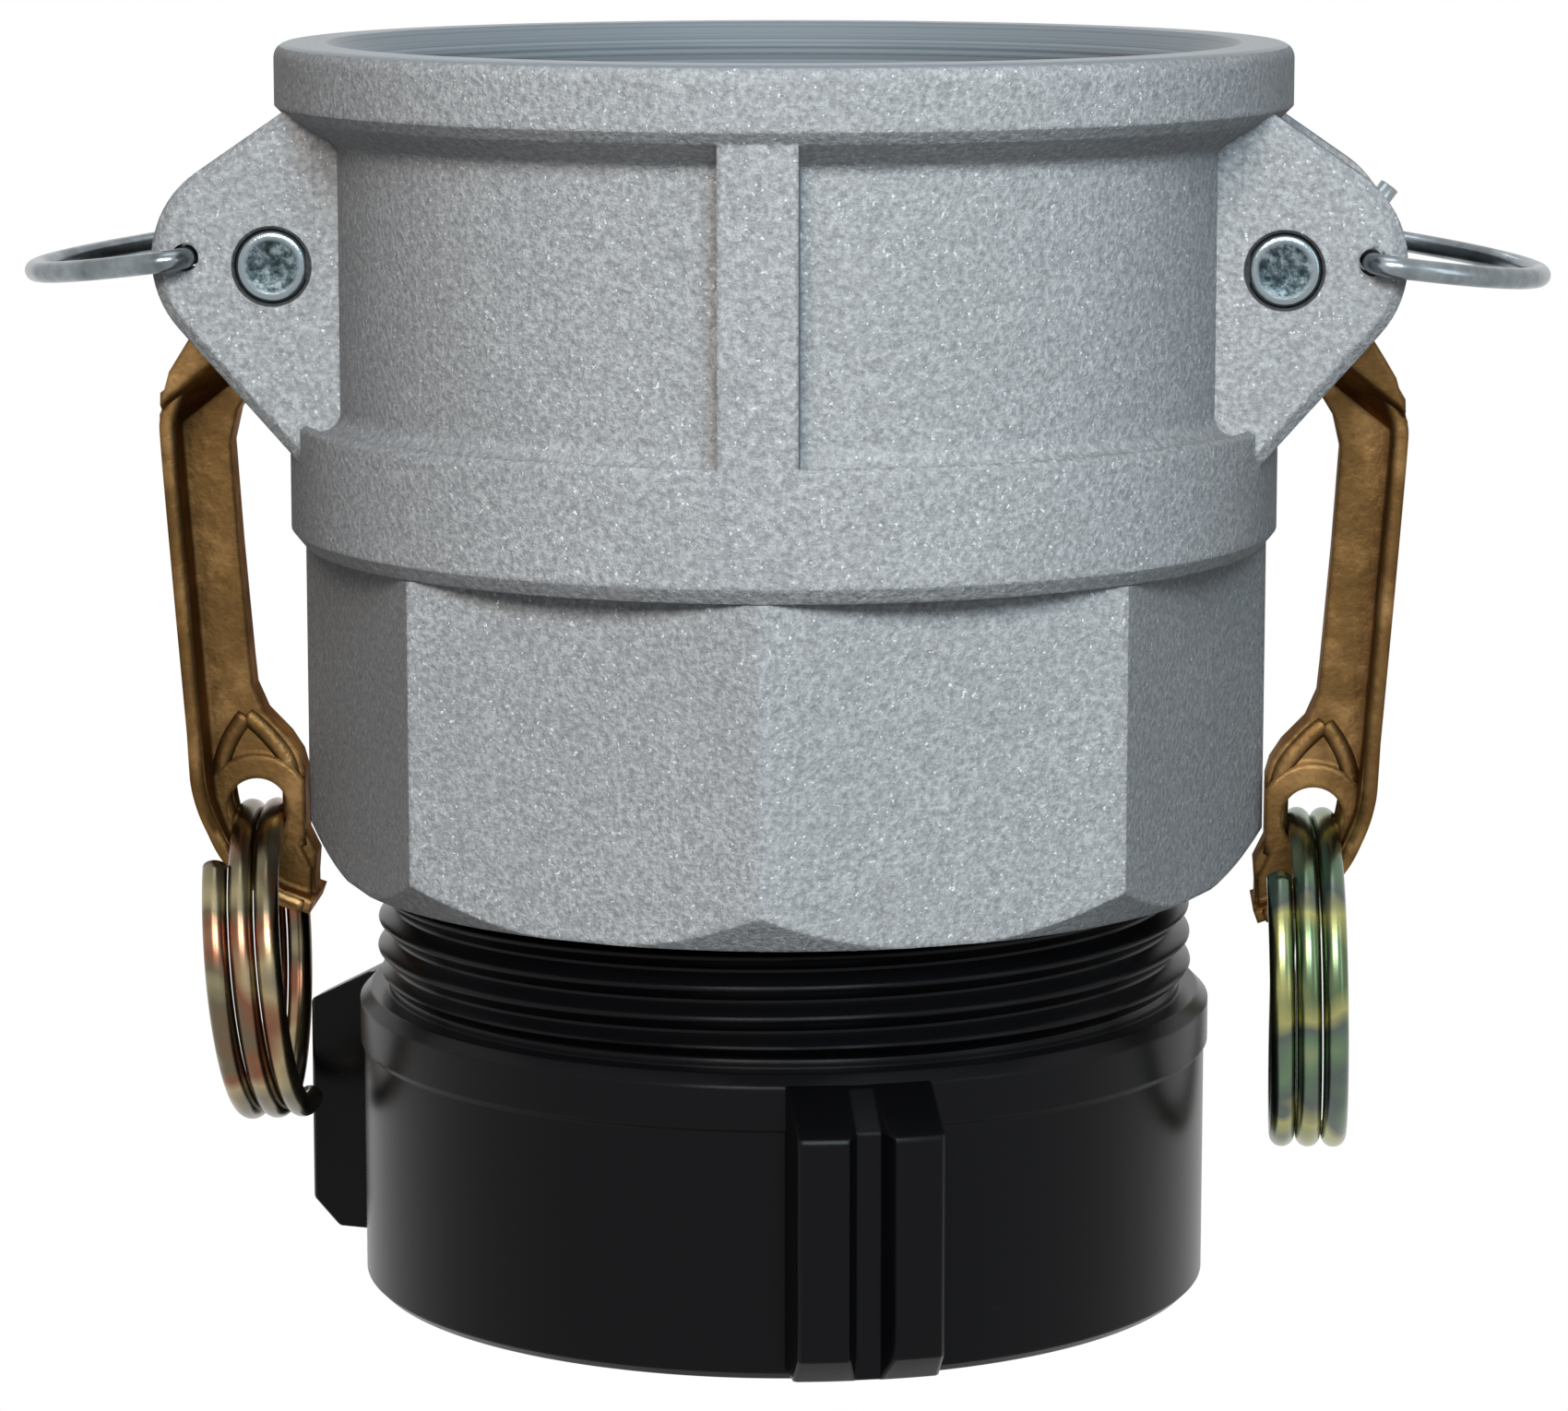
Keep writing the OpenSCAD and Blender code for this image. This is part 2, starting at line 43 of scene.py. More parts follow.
# the camera stands 590 mm from the coupler's axis, turned 2.8 degrees round it and looking down;
# focal is in pixels of an image that is imageWide pixels wide
view = {"turn": math.radians(2.8), "pitch": math.radians(9.46), "away": 590.0, "height": 160.7,
        "focal": 5968.0, "imageWide": 1700.0, "sensor": 36.0}
sinTurn, cosTurn = math.sin(view["turn"]), math.cos(view["turn"])
sinPitch, cosPitch = math.sin(view["pitch"]), math.cos(view["pitch"])
cam = bpy.data.objects.new("camera", bpy.data.cameras.new("camera"))
bpy.context.scene.collection.objects.link(cam)
cam.location = Vector((sinTurn * view["away"], -cosTurn * view["away"], view["height"])) * mm
look = Vector((-sinTurn * cosPitch, cosTurn * cosPitch, -sinPitch))
cam.rotation_euler = look.to_track_quat("-Z", "Y").to_euler()
cam.data.sensor_width = view["sensor"]
cam.data.lens = view["sensor"] * view["focal"] / view["imageWide"]
cam.data.clip_start = 0.01
cam.data.clip_end = 20.0
bpy.context.scene.camera = cam
bpy.context.scene.view_settings.view_transform = "Standard"
bpy.context.scene.view_settings.look = "None"


def plug(tree, socket, value):
    # links an output, or writes a number or a colour straight on the socket
    if hasattr(value, "is_output"):
        tree.links.new(value, socket)
    elif isinstance(value, (int, float)):
        socket.default_value = value
    elif value is not None:
        socket.default_value = (*value, 1.0)


def add(tree, kind, **values):
    # one node with some of its input sockets or properties set by name
    n = tree.nodes.new(kind)
    for k, v in values.items():
        if k in n.inputs:
            n.inputs[k].default_value = v
        else:
            setattr(n, k, v)
    return n


def bareTree(owner):
    # the node tree of a material or a world, emptied
    owner.use_nodes = True
    for n in list(owner.node_tree.nodes):
        owner.node_tree.nodes.remove(n)
    return owner.node_tree


def newMaterial(name):
    # a fresh node material: returns it with its tree, its shader and its object coordinates
    m = bpy.data.materials.new(name)
    tree = bareTree(m)
    out = tree.nodes.new("ShaderNodeOutputMaterial")
    shader = tree.nodes.new("ShaderNodeBsdfPrincipled")
    tree.links.new(shader.outputs["BSDF"], out.inputs["Surface"])
    return m, tree, shader, tree.nodes.new("ShaderNodeTexCoord").outputs["Object"]


def maths(tree, operation, a, b=None):
    n = add(tree, "ShaderNodeMath", operation=operation)
    for socket, value in zip(n.inputs, (a, b)):
        plug(tree, socket, value)
    return n.outputs[0]


def noiseAt(tree, coord, scale, detail, rough):
    n = add(tree, "ShaderNodeTexNoise", Scale=scale, Detail=detail, Roughness=rough)
    tree.links.new(coord, n.inputs["Vector"])
    return n.outputs["Fac"]


def ramp(tree, fac, stops):
    # colour ramp from (position, colour) stops
    n = tree.nodes.new("ShaderNodeValToRGB")
    els = n.color_ramp.elements
    while len(els) < len(stops):
        els.new(0.5)
    for e, (p, c) in zip(els, stops):
        e.position = p
        e.color = (*c, 1.0)
    tree.links.new(fac, n.inputs["Fac"])
    return n.outputs["Color"]


def span(tree, fac, lo, hi, a, b):
    # maps lo..hi of fac to a..b, clamped
    n = add(tree, "ShaderNodeMapRange")
    tree.links.new(fac, n.inputs["Value"])
    for k, v in (("From Min", lo), ("From Max", hi), ("To Min", a), ("To Max", b)):
        n.inputs[k].default_value = v
    return n.outputs["Result"]


def mixColour(tree, fac, a, b):
    n = tree.nodes.new("ShaderNodeMix")
    n.data_type = "RGBA"
    for socket, value in ((n.inputs[0], fac), (n.inputs[6], a), (n.inputs[7], b)):
        plug(tree, socket, value)
    return n.outputs[2]


def mixNumber(tree, fac, a, b):
    n = tree.nodes.new("ShaderNodeMix")
    for socket, value in ((n.inputs[0], fac), (n.inputs[2], a), (n.inputs[3], b)):
        plug(tree, socket, value)
    return n.outputs[0]


def lengthOf(tree, a, b):
    # sqrt(a^2 + b^2) of two outputs
    flat = tree.nodes.new("ShaderNodeCombineXYZ")
    tree.links.new(a, flat.inputs["X"])
    tree.links.new(b, flat.inputs["Y"])
    n = add(tree, "ShaderNodeVectorMath", operation="LENGTH")
    tree.links.new(flat.outputs[0], n.inputs[0])
    return n.outputs["Value"]


def bump(tree, height, strength, distance, after=None):
    # relief from height; distance is in metres, after is the normal that it starts from
    n = add(tree, "ShaderNodeBump", Distance=distance)
    plug(tree, n.inputs["Strength"], strength)
    tree.links.new(height, n.inputs["Height"])
    plug(tree, n.inputs["Normal"], after)
    return n.outputs["Normal"]


def roundEdges(tree, radius):
    # shading normal that rounds the solid's edges by this radius in metres
    n = add(tree, "ShaderNodeBevel", Radius=radius)
    n.samples = 4
    return n.outputs["Normal"]


def seenRays(tree):
    # 1 for rays that see the background: straight from the camera, mirrored or through glass
    path = tree.nodes.new("ShaderNodeLightPath")
    direct = maths(tree, "MAXIMUM", path.outputs["Is Camera Ray"], path.outputs["Is Glossy Ray"])
    return maths(tree, "MAXIMUM", direct, path.outputs["Is Transmission Ray"])


def whenSeen(tree, lit, seen, out):
    # the shader lit for light that falls on things, the shader seen for rays that see the background
    pick = tree.nodes.new("ShaderNodeMixShader")
    tree.links.new(seenRays(tree), pick.inputs["Fac"])
    tree.links.new(lit.outputs[0], pick.inputs[1])
    tree.links.new(seen.outputs[0], pick.inputs[2])
    tree.links.new(pick.outputs[0], out.inputs["Surface"])


def gridMesh(name, p, loopU=False, loopV=False, capEnds=False):
    # quads between the rows and columns of a grid of points p[row, column] in millimetres; loopU joins the last row
    # to the first and loopV the last column; a closed grid whose volume, the sum of a . (b x c) over its triangles,
    # comes out negative is turned round, so that it faces outwards
    if loopV and (loopU or capEnds):
        q = p - p.mean((0, 1))
        a, b = q, np.roll(q, -1, 1)
        d, e = np.roll(b, -1, 0), np.roll(a, -1, 0)
        part = (a * np.cross(b, d)).sum(-1) + (a * np.cross(d, e)).sum(-1)
        total = part.sum() if loopU else part[:-1].sum()
        if not loopU:
            for ring, sign in ((q[0], -1.0), (q[-1], 1.0)):
                total += sign * (ring.mean(0) * np.cross(ring, np.roll(ring, -1, 0))).sum()
        if total < 0:
            p = p[::-1]
    rows, cols = p.shape[:2]
    r = np.arange(rows if loopU else rows - 1)
    c = np.arange(cols if loopV else cols - 1)
    rr, cc = np.meshgrid(r, c, indexing="ij")
    nextRow, nextCol = (rr + 1) % rows, (cc + 1) % cols
    corners = [rr * cols + cc, rr * cols + nextCol, nextRow * cols + nextCol, nextRow * cols + cc]
    loops = np.stack(corners, -1).ravel()
    sizes = [4] * rr.size
    if capEnds:
        loops = np.concatenate([loops, np.arange(cols)[::-1], np.arange((rows - 1) * cols, rows * cols)])
        sizes += [cols, cols]
    mesh = bpy.data.meshes.new(name)
    points = (p.reshape(-1, 3) * mm).astype(np.float32)
    mesh.vertices.add(len(points))
    mesh.vertices.foreach_set("co", points.ravel())
    mesh.loops.add(len(loops))
    mesh.loops.foreach_set("vertex_index", loops.astype(np.int32))
    mesh.polygons.add(len(sizes))
    starts = np.concatenate([[0], np.cumsum(sizes)[:-1]])
    mesh.polygons.foreach_set("loop_start", starts.astype(np.int32))
    mesh.polygons.foreach_set("use_smooth", [True] * len(sizes))
    mesh.update(calc_edges=True)
    mesh.validate()
    o = bpy.data.objects.new(name, mesh)
    bpy.context.scene.collection.objects.link(o)
    return o


def latheGrid(prof, sides, cx=0.0):
    # a profile of (radius r, length) turned about an axis by the angle t: gives r cos t + cx, r sin t and the length,
    # and the piece that uses it says which of them is x, y and z
    t = np.arange(sides) / sides * fullTurn
    return prof[:, None, 0] * np.cos(t) + cx, prof[:, None, 0] * np.sin(t), np.repeat(prof[:, 1:], sides, 1)


def tube(name, path, radius, sides):
    # round wire: at each point of the path a circle p + r (n cos t + b sin t), where n and b are square to the path
    # and n is carried along without twist; its ends are flat caps with a small round edge
    path = np.asarray(path, float)
    d = np.gradient(path, axis=0)
    d /= np.linalg.norm(d, axis=1)[:, None]
    n = np.zeros_like(d)
    first = np.cross(d[0], [0.0, 0.0, 1.0])
    if np.linalg.norm(first) < 0.2:
        first = np.cross(d[0], [1.0, 0.0, 0.0])
    n[0] = first / np.linalg.norm(first)
    for i in range(1, len(d)):
        v = n[i - 1] - d[i] * np.dot(n[i - 1], d[i])
        n[i] = v / np.linalg.norm(v)
    b = np.cross(d, n)
    edge = radius * 0.3
    into = edge * 0.3
    centre = np.concatenate([path[:1], [path[0] + d[0] * into], path[1:-1], [path[-1] - d[-1] * into], path[-1:]])
    n = np.concatenate([n[:1], n[:-1], n[-1:], n[-1:]])
    b = np.concatenate([b[:1], b[:-1], b[-1:], b[-1:]])
    r = np.full(len(centre), radius)
    r[[0, -1]] = radius - edge
    t = np.arange(sides) / sides * fullTurn
    across = np.cos(t)[None, :, None] * n[:, None] + np.sin(t)[None, :, None] * b[:, None]
    return gridMesh(name, centre[:, None] + r[:, None, None] * across, loopV=True, capEnds=True)


def dress(o, material):
    o.data.materials.clear()
    o.data.materials.append(material)


def finish(o, material, body, node=None, sharp=None):
    # material and body of a finished piece, the CAD node that it replaces
    # and the angle in degrees past which its edges stay sharp
    if sharp:
        o.data.set_sharp_from_angle(angle=math.radians(sharp))
    dress(o, material)
    if node:
        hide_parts(node)
    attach(o, body)


# a floor just below the object and a wall behind it, in millimetres
stage = {"floorHalf": 900, "floorZ": -0.3, "wallHalf": 1600, "wallY": 900, "wallZ": (-20, 1300),
         "pale": (0.22, 0.22, 0.22), "white": (1.0, 1.0, 1.0, 1.0)}


def stagePiece(name, corners):
    # flat rectangle that is plain pale for the light that falls on it and pure white where it is seen
    mesh = bpy.data.meshes.new(name)
    mesh.from_pydata((np.array(corners, float) * mm).tolist(), [], [(0, 1, 2, 3)])
    mesh.update()
    o = bpy.data.objects.new(name, mesh)
    bpy.context.scene.collection.objects.link(o)
    m = bpy.data.materials.new("pale_" + name)
    tree = bareTree(m)
    pale = add(tree, "ShaderNodeBsdfDiffuse", Color=(*stage["pale"], 1.0))
    white = add(tree, "ShaderNodeEmission", Color=stage["white"], Strength=1.0)
    whenSeen(tree, pale, white, tree.nodes.new("ShaderNodeOutputMaterial"))
    dress(o, m)
    return o


h, z = stage["floorHalf"], stage["floorZ"]
floor = stagePiece("floor", [(-h, -h, z), (h, -h, z), (h, h, z), (-h, h, z)])
h, y, (low, high) = stage["wallHalf"], stage["wallY"], stage["wallZ"]
backdrop = stagePiece("backdrop", [(-h, y, low), (h, y, low), (h, y, high), (-h, y, high)])

# the world gives a little cool fill light and looks white
world = bpy.data.worlds.new("studio")
bpy.context.scene.world = world
tree = bareTree(world)
dim = add(tree, "ShaderNodeBackground", Color=(0.82, 0.87, 0.95, 1.0), Strength=0.02)
white = add(tree, "ShaderNodeBackground", Color=stage["white"], Strength=1.0)
whenSeen(tree, dim, white, tree.nodes.new("ShaderNodeOutputWorld"))

# place in metres, height aimed at, width and height, watts, colour
lamps = {
    "key_left": ((-0.17, -0.96, 0.62), 0.08, (0.34, 0.34), 8.1, (1.0, 0.935, 0.875)),
    "key_right": ((0.27, -0.94, 0.62), 0.08, (0.34, 0.34), 8.8, (0.74, 0.905, 1.0)),
    "softbox_right": ((0.72, -0.42, 0.30), 0.08, (0.20, 0.50), 0.9, (0.74, 0.90, 1.0)),
    "softbox_top": ((0.02, -0.10, 0.85), 0.10, (0.40, 0.30), 0.8, (0.88, 0.95, 1.0)),
    "back_fill": ((-0.10, 1.00, 0.55), 0.08, (0.60, 0.50), 7.0, (0.86, 0.94, 1.0)),
}
for name, (place, aim, size, power, colour) in lamps.items():
    lamp = bpy.data.lights.new(name, "AREA")
    lamp.shape = "RECTANGLE"
    lamp.size, lamp.size_y = size
    lamp.energy = power
    lamp.color = colour
    o = bpy.data.objects.new(name, lamp)
    o.location = place
    o.rotation_euler = (Vector((0, 0, aim)) - Vector(place)).to_track_quat("-Z", "Y").to_euler()
    bpy.context.scene.collection.objects.link(o)

print("materials")

# each noise is its scale per metre, detail and roughness; colours are linear; lengths are in millimetres
pinPlace = {"x": 52.8, "z": 111.4}


def pinAway(tree, split):
    # distance from the nearer arm pin's axis, in metres
    side = maths(tree, "ABSOLUTE", split.outputs["X"])
    across = maths(tree, "SUBTRACT", side, pinPlace["x"] * mm)
    up = maths(tree, "SUBTRACT", split.outputs["Z"], pinPlace["z"] * mm)
    return lengthOf(tree, across, up)


castLook = {
    "grain": (1500.0, 4.0, 0.68), "paintedGlint": (2100.0, 2.0, 0.5), "fine": (3600.0, 2.0, 0.6),
    "blotch": (55.0, 3.0, 0.55), "scuff": (240.0, 5.0, 0.75), "lathe": (2600.0, 3.0, 0.7),
    "cast": [(0.34, (0.245, 0.248, 0.254)), (0.5, (0.355, 0.358, 0.365)), (0.66, (0.50, 0.503, 0.51))],
    # the glint colour is painted highlight; the edge-on and gap colours are painted shade
    "blotchColour": (0.27, 0.272, 0.28), "paintedGlintColour": (0.86, 0.87, 0.88), "scuffColour": (0.09, 0.09, 0.10),
    "paintedEdgeShadeColour": (0.10, 0.10, 0.105), "paintedGapShadeColour": (0.02, 0.02, 0.022),
    "turned": [(0.35, (0.13, 0.15, 0.168)), (0.65, (0.25, 0.28, 0.305))],
    "boreR": 48.9, "seatZ": 84.0, "topZ": 133.9, "paintedShadeGapR": 4.25,
    "metallic": 0.06, "specular": 0.12, "edgeRound": 0.8, "grainDeep": 0.42, "fineDeep": 0.12,
}


def castAluminium():
    # blasted aluminium: grey with fine grain, painted glints (bright specks that stand in for highlights), faint
    # blotches and scuffs, painted shade darkening it where seen edge on, and painted shade in the gap round each pin;
    # the bore above the gasket's seat and the rim's top are turned: a mask by radius and height lays fine rings there
    k = castLook
    m, tree, s, co = newMaterial("cast_aluminium")
    grain, paintedGlint, fine, blotch, scuff = [
        noiseAt(tree, co, *k[name]) for name in ("grain", "paintedGlint", "fine", "blotch", "scuff")]
    split = tree.nodes.new("ShaderNodeSeparateXYZ")
    tree.links.new(co, split.inputs[0])
    paintedShadeFacing = tree.nodes.new("ShaderNodeLayerWeight").outputs["Facing"]
    col = mixColour(tree, span(tree, blotch, 0.35, 0.7, 0.0, 0.22), ramp(tree, grain, k["cast"]), k["blotchColour"])
    # painted highlight: bright specks mixed into the base colour stand in for glints of light
    col = mixColour(tree, span(tree, paintedGlint, 0.66, 0.72, 0.0, 0.75), col, k["paintedGlintColour"])
    col = mixColour(tree, span(tree, scuff, 0.68, 0.74, 0.0, 0.55), col, k["scuffColour"])
    # painted shade: the colour darkens towards edge-on views, so faces turned away from the camera come out darker
    col = mixColour(tree, span(tree, paintedShadeFacing, 0.25, 0.8, 0.0, 0.5), col, k["paintedEdgeShadeColour"])
    # painted shade: a dark ring painted in the gap round each pin
    paintedGapShade = span(tree, pinAway(tree, split), (k["paintedShadeGapR"] + 0.07) * mm, (k["paintedShadeGapR"] - 0.07) * mm, 0.0, 0.9)
    col = mixColour(tree, paintedGapShade, col, k["paintedGapShadeColour"])

    height = split.outputs["Z"]
    radius = lengthOf(tree, split.outputs["X"], split.outputs["Y"])
    inBore = span(tree, radius, (k["boreR"] + 0.05) * mm, (k["boreR"] - 0.05) * mm, 0.0, 1.0)
    aboveSeat = span(tree, height, (k["seatZ"] - 0.5) * mm, (k["seatZ"] + 0.5) * mm, 0.0, 1.0)
    onTop = span(tree, height, (k["topZ"] - 0.05) * mm, (k["topZ"] + 0.05) * mm, 0.0, 1.0)
    mask = maths(tree, "MAXIMUM", maths(tree, "MULTIPLY", inBore, aboveSeat), onTop)
    rings = tree.nodes.new("ShaderNodeCombineXYZ")
    tree.links.new(radius, rings.inputs["X"])
    tree.links.new(height, rings.inputs["Z"])
    line = noiseAt(tree, rings.outputs[0], *k["lathe"])

    plug(tree, s.inputs["Base Color"], mixColour(tree, mask, col, ramp(tree, line, k["turned"])))
    s.inputs["Metallic"].default_value = k["metallic"]
    s.inputs["Specular IOR Level"].default_value = k["specular"]
    rough = mixNumber(tree, mask, span(tree, fine, 0.3, 0.7, 0.52, 0.70), span(tree, line, 0.3, 0.7, 0.26, 0.36))
    plug(tree, s.inputs["Roughness"], rough)
    # the relief is deep on the cast skin and almost none where it is turned
    n = bump(tree, mixNumber(tree, mask, grain, line), span(tree, mask, 0.0, 1.0, 0.8, 0.05),
             k["grainDeep"] * mm, roundEdges(tree, k["edgeRound"] * mm))
    n = bump(tree, fine, span(tree, mask, 0.0, 1.0, 0.35, 0.02), k["fineDeep"] * mm, n)
    tree.links.new(n, s.inputs["Normal"])
    return m


brassLook = {
    "patch": (130.0, 4.0, 0.6), "dent": (520.0, 3.0, 0.55), "speck": (1500.0, 3.0, 0.6),
    "colours": [(0.30, (0.090, 0.049, 0.017)), (0.5, (0.135, 0.074, 0.026)), (0.68, (0.28, 0.162, 0.064))],
    "speckColour": (0.06, 0.032, 0.012), "metallic": 0.92, "edgeTint": (0.50, 0.34, 0.18),
    "edgeRound": 0.8, "dentDeep": 0.3, "speckDeep": 0.08,
}


def brassForged():
    # forged brass: warm brown gold, darker in patches, with a hammered relief that glints on edges and slopes
    k = brassLook
    m, tree, s, co = newMaterial("brass")
    patch, dent, speck = [noiseAt(tree, co, *k[name]) for name in ("patch", "dent", "speck")]
    col = mixColour(tree, span(tree, speck, 0.55, 0.75, 0.0, 0.4), ramp(tree, patch, k["colours"]), k["speckColour"])
    tree.links.new(col, s.inputs["Base Color"])
    s.inputs["Metallic"].default_value = k["metallic"]
    plug(tree, s.inputs["Specular Tint"], k["edgeTint"])
    tree.links.new(span(tree, patch, 0.3, 0.7, 0.50, 0.34), s.inputs["Roughness"])
    n = bump(tree, dent, 0.45, k["dentDeep"] * mm, roundEdges(tree, k["edgeRound"] * mm))
    n = bump(tree, speck, 0.3, k["speckDeep"] * mm, n)
    tree.links.new(n, s.inputs["Normal"])
    return m


blackLook = {
    "fine": (2600.0, 2.0, 0.5), "dust": (420.0, 4.0, 0.7), "colour": (0.0022, 0.0022, 0.0028),
    "dustColour": (0.03, 0.03, 0.034), "roughness": 0.27, "ior": 1.2, "edgeRound": 0.4, "fineDeep": 0.06,
}


def blackAnodised():
    # glossy black with a few specks of dust
    k = blackLook
    m, tree, s, co = newMaterial("black_anodised")
    fine, dust = noiseAt(tree, co, *k["fine"]), noiseAt(tree, co, *k["dust"])
    col = mixColour(tree, span(tree, dust, 0.72, 0.77, 0.0, 0.4), k["colour"], k["dustColour"])
    tree.links.new(col, s.inputs["Base Color"])
    s.inputs["Roughness"].default_value = k["roughness"]
    s.inputs["IOR"].default_value = k["ior"]
    n = bump(tree, fine, 0.12, k["fineDeep"] * mm, roundEdges(tree, k["edgeRound"] * mm))
    tree.links.new(n, s.inputs["Normal"])
    return m


def zincPlated(name, cloud, stops, roughness, pits, strength):
    # zinc on drawn wire: mirror-like metal whose colour drifts along the noise cloud, with shallow pits
    m, tree, s, co = newMaterial(name)
    tree.links.new(ramp(tree, noiseAt(tree, co, *cloud), stops), s.inputs["Base Color"])
    s.inputs["Metallic"].default_value = 1.0
    s.inputs["Roughness"].default_value = roughness
    tree.links.new(bump(tree, noiseAt(tree, co, *pits), strength, 0.06 * mm), s.inputs["Normal"])
    return m


clipLook = {"cloud": (260.0, 3.0, 0.6), "stops": [(0.3, (0.13, 0.15, 0.162)), (0.7, (0.30, 0.335, 0.355))],
            "roughness": 0.24, "pits": (1200.0, 2.0, 0.5), "strength": 0.10}
# yellow chromate drifts between gold, dark and red on the left, and between gold, dark and green on the right
ringLook = {"cloud": (75.0, 2.0, 0.5), "roughness": 0.26, "pits": (1100.0, 2.0, 0.5), "strength": 0.08}
leftStops = [(0.34, (0.17, 0.15, 0.11)), (0.46, (0.34, 0.27, 0.15)), (0.56, (0.20, 0.085, 0.05)),
             (0.66, (0.13, 0.11, 0.07)), (0.76, (0.36, 0.31, 0.18))]
rightStops = [(0.34, (0.10, 0.14, 0.075)), (0.46, (0.34, 0.33, 0.13)), (0.53, (0.10, 0.12, 0.11)),
              (0.62, (0.13, 0.20, 0.12)), (0.74, (0.36, 0.35, 0.18))]

pinLook = {
    "spots": (900.0, 4.0, 0.7), "ringColour": (0.245, 0.288, 0.31), "metallic": 0.9, "middleR": 2.8, "spotsDeep": 0.12,
    "dull": [(0.38, (0.014, 0.022, 0.024)), (0.5, (0.054, 0.076, 0.085)), (0.64, (0.187, 0.23, 0.245))],
}


def pinSteel():
    # turned pin: a mottled dull middle inside a bright ring at its round edge, by the distance from the pin's own axis
    k = pinLook
    m, tree, s, co = newMaterial("zinc_bright_pin")
    split = tree.nodes.new("ShaderNodeSeparateXYZ")
    tree.links.new(co, split.inputs[0])
    middle = span(tree, pinAway(tree, split), (k["middleR"] + 0.2) * mm, (k["middleR"] - 0.2) * mm, 0.0, 1.0)
    spots = noiseAt(tree, co, *k["spots"])
    col = mixColour(tree, middle, k["ringColour"], ramp(tree, spots, k["dull"]))
    tree.links.new(col, s.inputs["Base Color"])
    s.inputs["Metallic"].default_value = k["metallic"]
    tree.links.new(span(tree, middle, 0.0, 1.0, 0.24, 0.42), s.inputs["Roughness"])
    tree.links.new(bump(tree, spots, 0.5, k["spotsDeep"] * mm), s.inputs["Normal"])
    return m


rubberLook = {"mottle": (900.0, 3.0, 0.6), "stops": [(0.3, (0.012, 0.012, 0.012)), (0.7, (0.024, 0.024, 0.024))],
              "roughness": 0.6, "deep": 0.1}


def rubberBlack():
    k = rubberLook
    m, tree, s, co = newMaterial("elastomer")
    mottle = noiseAt(tree, co, *k["mottle"])
    tree.links.new(ramp(tree, mottle, k["stops"]), s.inputs["Base Color"])
    s.inputs["Roughness"].default_value = k["roughness"]
    tree.links.new(bump(tree, mottle, 0.2, k["deep"] * mm), s.inputs["Normal"])
    return m


aluminium = castAluminium()
brass = brassForged()
black = blackAnodised()
rubber = rubberBlack()
pinZinc = pinSteel()
clipZinc = zincPlated("zinc_bright", **clipLook)
leftZinc = zincPlated("zinc_yellow_left", stops=leftStops, **ringLook)
rightZinc = zincPlated("zinc_yellow_right", stops=rightStops, **ringLook)

for name, m in (("coupler_body", aluminium), ("coupler_gasket", rubber), ("adapter_gasket", rubber),
                ("cam_arm_left", brass), ("cam_arm_right", brass)):
    dress(nodes[name], m)

print("finger rings")

# wire and outer diameters, the coil's angles in degrees, its pitch and how far its top hangs below the eye's middle
ringWire = {"wire": 2.7, "from": 40.0, "to": 905.0, "middle": 540.0, "pitch": 2.8, "hang": 0.95,
            "eyeX": 57.3, "eyeZ": 51.0, "points": 210, "sides": 22}


def fingerRing(name, side, outer, lean, material, node, body):
    # coil: its angle a runs from the top over the front, x = pitch * (a - middle) / 360,
    # y = -R sin a, z = R cos a - R - hang, then leaned about the eye and hung in it
    k = ringWire
    r = (outer - k["wire"]) / 2
    a = np.radians(np.linspace(k["from"], k["to"], k["points"]))
    x = k["pitch"] * (np.degrees(a) - k["middle"]) / 360.0
    z = r * np.cos(a) - r - k["hang"]
    t = math.radians(lean)
    path = np.stack([side * k["eyeX"] + x * math.cos(t) - z * math.sin(t), -r * np.sin(a),
                     k["eyeZ"] + x * math.sin(t) + z * math.cos(t)], 1)
    finish(tube(name, path, k["wire"] / 2, k["sides"]), material, body, node)


fingerRing("finger_coil_left", -1, 35.2, 3.43, leftZinc, "finger_ring_left", "left_finger_ring")
fingerRing("finger_coil_right", 1, 37.0, 0.0, rightZinc, "finger_ring_right", "right_finger_ring")

print("safety clips")

# wire diameter, bend radius at the corners, half length of the shank, how far the loop reaches out, droop in degrees,
# place of the hole, length of the tab and the angle by which it is turned up
clipWire = {"wire": 2.25, "bend": 2.2, "shank": 17.65, "reach": 20.0, "droop": 8.0, "x": 61.9, "z": 112.3,
            "tab": 4.4, "tabTurn": 62.0, "shankPoints": 18, "loopPast": 3, "sides": 22}


def arcPoints(cx, cy, r, a0, a1, n):
    a = np.radians(np.linspace(a0, a1, n))
    return np.stack([cx + r * np.cos(a), cy + r * np.sin(a)], 1)


